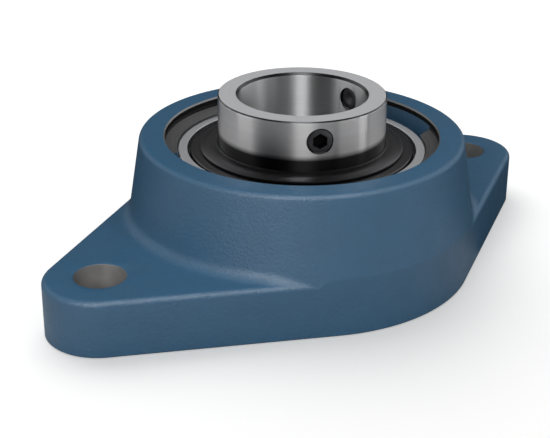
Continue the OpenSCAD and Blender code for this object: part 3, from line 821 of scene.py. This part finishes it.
# Painted reflection: the foot of the wall beside the flinger is painted dark, standing in for the
# dark flinger reflected in the steel
painted_reflection_low, painted_reflection_high = 32.9 * mm, 34.2 * mm
spot = put(tree, "ShaderNodeTexCoord").outputs["Object"]
height = put(tree, "ShaderNodeSeparateXYZ", {0: spot}).outputs[2]
clear = between(tree, height, painted_reflection_low, painted_reflection_high, 0.02, 1.0)
tone = put(tree, "ShaderNodeMix", {0: clear, 6: srgb(30, 30, 31), 7: tone}, data_type="RGBA")
tree.links.new(tone.outputs[2], shader.inputs["Base Color"])

faced, tree, shader = material("faced end of the inner ring", {
    "Base Color": srgb(196, 197, 199), "Metallic": 1.0, "Roughness": 0.55,
})
surface(
    tree, shader, lathe_lines, {"Spacing": 0.08, "Depth": 0.0012, "Wander": 0.05},
    ("Base Color", 0.3, 0.7, srgb(188, 189, 191), srgb(204, 205, 207)),
)

honed, tree, shader = material("honed steel of the bore", {
    "Base Color": srgb(180, 181, 182), "Metallic": 1.0, "Roughness": 0.38, "Anisotropic": 1.0,
    "Anisotropic Rotation": 0.25,
})
radial = put(tree, "ShaderNodeTangent", direction_type="RADIAL", axis="Z")
tree.links.new(radial.outputs[0], shader.inputs["Tangent"])
surface(
    tree, shader, lathe_lines, {"Spacing": 0.05, "Depth": 0.0006, "Wander": 0.03},
    ("Base Color", 0.3, 0.7, srgb(174, 175, 176), srgb(186, 187, 188)),
)

# Painted shade: the chamfers and the walls of the screw holes are painted near black, for the shade
# that falls on them
edge_and_hole_shade, _, _ = material("turned edges of the inner ring", {
    "Base Color": srgb(44, 44, 45), "Metallic": 1.0, "Roughness": 0.3,
})

hole_tools = []
for spot in screw_places:
    tool = turned("screw_hole", [
        (hole_r, 10), *shank(hole_low, hole_high, hole_r, screw_pitch),
        (hole_r + 0.03, hole_high + 0.1), (hole_r + 0.07, ring_r + 0.75),
    ], 64, closed=False)
    grow(
        tool, threading, Radius=hole_r * mm, Pitch=screw_pitch * mm, Depth=thread_depth * mm,
        Low=(hole_low + near) * mm, High=(hole_high + near) * mm, Material=bright,
    )
    tool.data.transform(spot)
    hole_tools.append(tool)
combine(inner_ring, "DIFFERENCE", *hole_tools)
dress(inner_ring, bright, faced, honed, edge_and_hole_shade)
inner, outer = bore_r + bore_chamfer + near, ring_r - ring_chamfer - near
for face in inner_ring.data.polygons:
    x, y, z = (c / mm for c in face.center)
    tilt, radius = abs(face.normal.z), math.hypot(x, y)
    # Chamfers and screw hole walls take the painted shade
    chamfer = 0.3 < tilt < 0.9 and (radius < inner or radius > outer)
    in_hole = z > 30 and tilt < 0.9 and bore_r + 0.05 < radius < outer
    if chamfer or in_hole:
        face.material_index = 3
    elif tilt > 0.9:
        face.material_index = 1
    elif radius < bore_r + 0.05:
        face.material_index = 2
smooth(inner_ring)
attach(inner_ring, "shaft_ring")
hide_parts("inner_ring")


# Seals. On each side a pressed sheet-steel washer is snapped into the outer ring's recess, and
# nitrile rubber moulded round its inner edge runs on the inner ring with two lips.

fit_gap, sheet, hem_z = 0.02, 0.5, 8.1
washer_out, washer_wall, washer_in = recess_r - fit_gap, recess_r - 0.63, ring_r + 1.85
washer_rim, washer_foot = washer_wall - sheet, recess_z + fit_gap
washer_section = [
    (washer_rim, washer_foot), (washer_out, washer_foot), (washer_out, washer_foot + sheet),
    (washer_wall, washer_foot + sheet), *arc(washer_rim, face_z - sheet, sheet, 0, 90, 8),
    (washer_in, face_z), (washer_in, hem_z), (washer_in + sheet, hem_z),
    (washer_in + sheet, face_z - sheet), (washer_rim, face_z - sheet),
]
lip_edge, lip_z, tip_r = washer_in - fit_gap, hem_z - fit_gap, ring_r + 0.08
lip_section = [
    (lip_edge, 8.9), (lip_edge - 0.6, 8.9), (tip_r, lip_z + 0.8), (tip_r, lip_z + 0.6),
    (lip_edge - 0.75, lip_z + 0.2), (lip_edge - 0.75, lip_z - 0.1), (tip_r, lip_z - 0.8),
    (tip_r, lip_z - 1), (lip_edge - 0.6, lip_z - 0.6), (lip_edge + 0.9, lip_z - 0.6),
    (lip_edge + 0.9, lip_z), (lip_edge, lip_z),
]


def both_sides(name, section, look, body, nodes):
    """Turns a section for the front, and its mirror image for the back."""
    for node, side in zip(nodes, (1, -1)):
        points = section if side > 0 else [(r, -z) for r, z in section[::-1]]
        piece = turned(node + "_" + name, shifted(points, centre_h))
        dress(piece, look)
        smooth(piece)
        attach(piece, body)
        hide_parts(node)


plated, tree, shader = material("blackened sheet steel", {
    "Base Color": srgb(52, 52, 54), "Metallic": 0.9, "Roughness": 0.34,
})
surface(
    tree, shader, lathe_lines, {"Spacing": 0.3, "Depth": 0.004, "Wander": 0.4},
    ("Base Color", 0.3, 0.7, srgb(46, 46, 48), srgb(60, 60, 62)),
)
rubber, tree, shader = material("nitrile rubber", {
    "Base Color": srgb(26, 26, 27), "Roughness": 0.6,
})
surface(
    tree, shader, cast_skin, {"Grain Size": 0.2, "Grain Depth": 0.004, "Wave Depth": 0.02},
    ("Roughness", 0.3, 0.7, 0.52, 0.68),
)
both_sides(
    "sheet", eased(washer_section, 0.12), plated, "insert",
    ("front_seal_washer", "back_seal_washer"),
)
both_sides(
    "rubber", eased(lip_section[::-1], 0.05), rubber, "insert", ("front_seal_lip", "back_seal_lip"),
)


# Flingers. Thin dark steel discs pressed on the inner ring. They turn with it in front of each
# seal and throw dirt and water off. Their rims droop towards the outer ring.

hub_in, hub_out, hub_foot, hub_rise = ring_r + fit_gap, ring_r + 0.5, 9.45, 0.16
disc_z, gauge = 10.3, 0.4
droop_from, droop_to, droop_r = ring_r + 1.65, ring_r + 4.25, 5.4
droop_z = disc_z - droop_r
upper = math.degrees(math.acos((droop_to - droop_from) / droop_r))
lower = math.degrees(math.acos((droop_to - droop_from) / (droop_r - gauge)))
flinger_section = [
    (hub_in, hub_foot), (hub_out, hub_foot), (hub_out, disc_z - gauge),
    *arc(droop_from, droop_z, droop_r - gauge, 90, lower),
    *arc(droop_from, droop_z, droop_r, upper, 90),
    (hub_out, disc_z), (hub_out, disc_z + hub_rise), (hub_in, disc_z + hub_rise),
]
browned, tree, shader = material("browned flinger steel", {
    "Base Color": srgb(58, 58, 60), "Metallic": 0.9, "Roughness": 0.36,
})
surface(
    tree, shader, lathe_lines, {"Spacing": 0.25, "Depth": 0.003, "Wander": 0.3},
    ("Base Color", 0.3, 0.7, srgb(51, 51, 53), srgb(65, 65, 67)),
)
both_sides(
    "steel", eased(flinger_section, 0.1), browned, "shaft_ring", ("front_flinger", "back_flinger"),
)


# Set screws. Blackened alloy steel with a fine thread, a hexagon socket, and a cup point that
# bites into the shaft. Their threads run in step with those of the holes.

# A hexagon's corner lies further out than its flats in this proportion
corner = 1 / math.cos(math.pi / 6)
tip, head, socket_r, socket_depth = bore_r + 0.35, ring_r - 0.1, 1.5 * corner, 2.2
oxide, tree, shader = material("black oxide on the screws", {
    "Base Color": srgb(84, 84, 86), "Metallic": 0.85, "Roughness": 0.5,
})
surface(
    tree, shader, cast_skin, {"Grain Size": 0.15, "Grain Depth": 0.002, "Wave Depth": 0.01},
    ("Base Color", 0.35, 0.65, srgb(76, 76, 78), srgb(92, 92, 94)),
)
# Painted shade: the inside of the hexagon socket is painted near black, for the shade in the deep
# recess
socket_shade, _, _ = material("oiled socket of the screws", {
    "Base Color": srgb(12, 12, 13), "Roughness": 0.7, "Specular IOR Level": 0.2,
})
thread_foot, thread_top = tip + 0.7, head - 0.35
tip_cone = [(screw_r - t, thread_foot - t) for t in np.linspace(0.64, 0, 11)[:-1]]
head_cone = [(screw_r - 0.28 * t, thread_top + 0.29 * t) for t in np.linspace(0, 1, 6)[1:]]
for i, spot in enumerate(screw_places, 1):
    node = "set_screw_%d" % i
    screw = turned(node + "_steel", [
        (0.05, tip + 0.72), (1.45, tip + 0.03), (1.55, tip), (2.25, tip), *tip_cone,
        *shank(thread_foot, thread_top, screw_r, screw_pitch), *head_cone, (2.6, head),
    ], 64, closed=False)
    grow(
        screw, threading, Radius=screw_r * mm, Pitch=screw_pitch * mm, Depth=thread_depth * mm,
        Low=0.0, High=1.0, Material=oxide,
    )
    socket_tool = turned("socket", [
        (0.2, head - socket_depth - 0.5), (socket_r, head - socket_depth), (socket_r, head - 0.15),
        (socket_r + 0.25, head + 0.1), (socket_r + 0.25, head + 1),
    ], 6, closed=False)
    combine(screw, "DIFFERENCE", socket_tool)
    dress(screw, oxide, socket_shade)
    # Faces inside the socket take the painted shade
    for face in screw.data.polygons:
        x, y, z = (c / mm for c in face.center)
        in_socket = math.hypot(x, y) < socket_r and -socket_depth - 0.55 < z - head < -near
        face.material_index = int(in_socket)
    screw.data.transform(spot)
    smooth(screw)
    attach(screw, node)
    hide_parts(node)


# Grease nipple. Turned from hexagon steel bar and zinc plated yellow. It screws into the
# housing, and a ball under a spring closes its mouth until the grease gun lifts it.

yellow, tree, shader = material("yellow zinc plating", {
    "Base Color": srgb(196, 172, 104), "Metallic": 1.0, "Roughness": 0.3,
})
surface(
    tree, shader, cast_skin, {"Grain Size": 0.3, "Grain Depth": 0.001, "Wave Depth": 0.01},
    ("Base Color", 0.35, 0.65, srgb(186, 166, 96), srgb(206, 178, 118)),
)

shank_r, shank_pitch, shank_depth, neck_r = 3.0, 1.0, 0.55, 2.45
hex_r, hex_h = 3.5 * corner, 3.0
body = turned("nipple_body_steel", [
    (2.5, -5.5), *shank(-5, -0.6, shank_r, shank_pitch), (neck_r, -0.3), (neck_r, 5.9),
    (2.6, 6.02), (3.18, 6.8), (3.25, 6.92), (3.25, 7.36), (3.2, 7.46), (1.87, 9.43), (1.75, 9.5),
], 64, closed=False)
grow(
    body, threading, Radius=shank_r * mm, Pitch=shank_pitch * mm, Depth=shank_depth * mm,
    Low=-1.0, High=0.0, Material=yellow,
)
flats = turned("flats", [(hex_r, 0), (hex_r, hex_h)], 6, closed=False)
crown = turned("crown", [
    (3.84, -near), (4.04, 0.2), (4.04, 2.5), (3.54, hex_h + near),
], 64, closed=False)
combine(flats, "INTERSECT", crown)
combine(body, "UNION", flats)
mouth_r, chamber_r = 0.75, 1.15
mouth = turned("mouth", [(mouth_r, -6), (mouth_r, 11)], 48, closed=False)
chamber = turned("chamber", [
    (0.7, 0.9), (chamber_r, 1.2), (chamber_r, 8.55), (0.8, 8.9), (0.7, 9.0),
], 48, closed=False)
combine(body, "DIFFERENCE", mouth, chamber)
body.data.transform(nipple_place)
dress(body, yellow)
smooth(body)
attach(body, "housing")
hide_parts("nipple_body")

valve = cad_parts["nipple_ball"]
dress(valve, lapped)
smooth(valve, 60)

coil, inlet = geometry_tree(
    "coil", Turns=("Float", 6.0), Radius=("Float", 0.001), Wire_Radius=("Float", 0.0001),
    Length=("Float", 0.006),
)
helix = put(coil, "GeometryNodeCurveSpiral", {
    "Resolution": 48, "Rotations": inlet["Turns"], "Start Radius": inlet["Radius"],
    "End Radius": inlet["Radius"], "Height": inlet["Length"],
})
wire = put(coil, "GeometryNodeCurvePrimitiveCircle", {
    "Resolution": 10, "Radius": inlet["Wire Radius"],
})
swept = put(coil, "GeometryNodeCurveToMesh", {
    "Curve": helix.outputs[0], "Profile Curve": wire.outputs[0], "Fill Caps": True,
})
end_tree(coil, swept.outputs[0], inlet["Material"])

drawn, tree, shader = material("drawn spring wire", {
    "Base Color": srgb(150, 152, 156), "Metallic": 1.0, "Roughness": 0.25,
})
surface(
    tree, shader, cast_skin, {"Grain Size": 0.08, "Grain Depth": 0.0006, "Wave Depth": 0.002},
    ("Roughness", 0.3, 0.7, 0.2, 0.32),
)
spring_foot, spring_top, coil_r, wire_r = 1.35, 7.4575, 0.87, 0.13
spring = mesh_piece("nipple_spring_wire", [(0, 0, 0)], [])
grow(
    spring, coil, Turns=6.0, Radius=coil_r * mm, Wire_Radius=wire_r * mm,
    Length=(spring_top - spring_foot) * mm, Material=drawn,
)
spring.data.transform(nipple_place @ Matrix.Translation((0, 0, spring_foot * mm)))
smooth(spring)
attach(spring, "housing")
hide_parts("nipple_spring")
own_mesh(spring)


# Floor and light. A pale floor under soft studio light; the camera sees it plain, while its light
# bounces carry painted shade and its reflections a painted dark far half.
# Softboxes light the painted casting, and strips that stand round the part show as upright bands in
# its turned steel.

floor_half = 3000
corners = [(x * floor_half, y * floor_half, 0) for x, y in ((-1, -1), (1, -1), (1, 1), (-1, 1))]
floor = mesh_piece("floor", corners, [(0, 1, 2, 3)])
pale, tree, shader = material("pale floor", {
    "Base Color": srgb(250, 250, 250), "Roughness": 0.9, "Specular IOR Level": 0.0,
    "Emission Strength": 1.0,
})
# Painted shade and painted reflection: to light that bounces off it the floor is a dimmer grey, and
# in reflections it is pale in front of the part and fades to near black behind the part's centre
away = put(tree, "ShaderNodeVectorMath", {
    0: put(tree, "ShaderNodeTexCoord").outputs["Object"], 1: (0.656, 0.755, 0),
}, operation="DOT_PRODUCT").outputs["Value"]
painted_floor_reflection = between(tree, away, -0.07, 0.0, srgb(232, 232, 232), srgb(30, 30, 30))
paths = put(tree, "ShaderNodeLightPath").outputs
tone = put(tree, "ShaderNodeMix", {
    0: paths["Is Glossy Ray"], 6: srgb(150, 150, 150), 7: painted_floor_reflection,
}, data_type="RGBA")
tone = put(tree, "ShaderNodeMix", {
    0: paths["Is Camera Ray"], 6: tone.outputs[2], 7: srgb(250, 250, 250),
}, data_type="RGBA")
tree.links.new(tone.outputs[2], shader.inputs["Base Color"])
glow = put(tree, "ShaderNodeMix", {
    0: paths["Is Camera Ray"], 6: (0, 0, 0, 1), 7: (0.36, 0.36, 0.355, 1),
}, data_type="RGBA")
tree.links.new(glow.outputs[2], shader.inputs["Emission Color"])
dress(floor, pale)

world = bpy.data.worlds.new("studio")
bpy.context.scene.world = world
world.use_nodes = True
tree = world.node_tree
height = put(tree, "ShaderNodeSeparateXYZ", {
    0: put(tree, "ShaderNodeTexCoord").outputs["Generated"],
}).outputs[2]
soft = between(tree, height, 0.0, 1.0, 0.2, 0.4)
glossy = between(tree, height, 0.5, 1.0, 0.03, 0.15)
paths = put(tree, "ShaderNodeLightPath").outputs
in_glossy, seen = paths["Is Glossy Ray"], paths["Is Camera Ray"]
total = put(tree, "ShaderNodeMix", {0: in_glossy, 2: soft, 3: glossy}, data_type="FLOAT")
shown = put(tree, "ShaderNodeMix", {0: seen, 2: total.outputs[0], 3: 0.97}, data_type="FLOAT")
backdrop = tree.nodes["Background"]
tree.links.new(shown.outputs[0], backdrop.inputs["Strength"])
backdrop.inputs["Color"].default_value = (1, 1, 1, 1)


def softbox(name, compass, climb, far, width, height, bright, pieces):
    """A flat light that lights only these pieces. It faces the part from this compass
    direction and climb, in degrees, at this distance in metres."""
    data = bpy.data.lights.new(name, "AREA")
    data.shape, data.size, data.size_y = "RECTANGLE", width, height
    data.energy = bright * math.pi * width * height
    lamp = bpy.data.objects.new(name, data)
    a, e = math.radians(compass), math.radians(climb)
    away = Vector((math.cos(a) * math.cos(e), math.sin(a) * math.cos(e), math.sin(e)))
    lamp.location = far * away
    lamp.rotation_mode = "QUATERNION"
    lamp.rotation_quaternion = lamp.location.to_track_quat("Z", "Y")
    bpy.context.scene.collection.objects.link(lamp)
    lit = bpy.data.collections.new(name + " lights")
    for piece in pieces:
        lit.objects.link(piece)
    lamp.light_linking.receiver_collection = lit


bare = [o for o in bpy.data.objects if o.type == "MESH" and o not in (casting, floor)]
softbox("floor light", 74, 52, 1.2, 1.4, 1.4, 1.7, [floor])
softbox("top", 258, 62, 1.0, 0.9, 0.9, 2.3, [casting])
softbox("left fill", 120, 25, 0.9, 1.2, 0.5, 0.6, [casting])
softbox("right fill", 345, 25, 0.9, 1.2, 0.5, 0.8, [casting])
softbox("key", 207, 30, 0.8, 0.35, 0.35, 5.8, [casting])
softbox("front", 232, 34, 0.9, 1.7, 0.25, 1.0, [casting])
# Strips that stand round the part and show in its bare steel
for compass, width, bright in (
    (124, 1.6, 1.9), (229, 0.26, 0.2), (244, 0.24, 1.0), (262, 0.3, 0.5), (291, 0.5, 1.0),
    (315, 0.25, 2.7), (350, 0.9, 2.0),
):
    softbox("strip", compass, 22, 1.0, width, 1.0, bright, bare)
softbox("high strip", 229, 62, 1.0, 0.28, 0.5, 19.0, [inner_ring])
softbox("back", 49, 45, 0.9, 0.8, 0.5, 0.8, bare)
bpy.context.scene.view_settings.view_transform = "Standard"
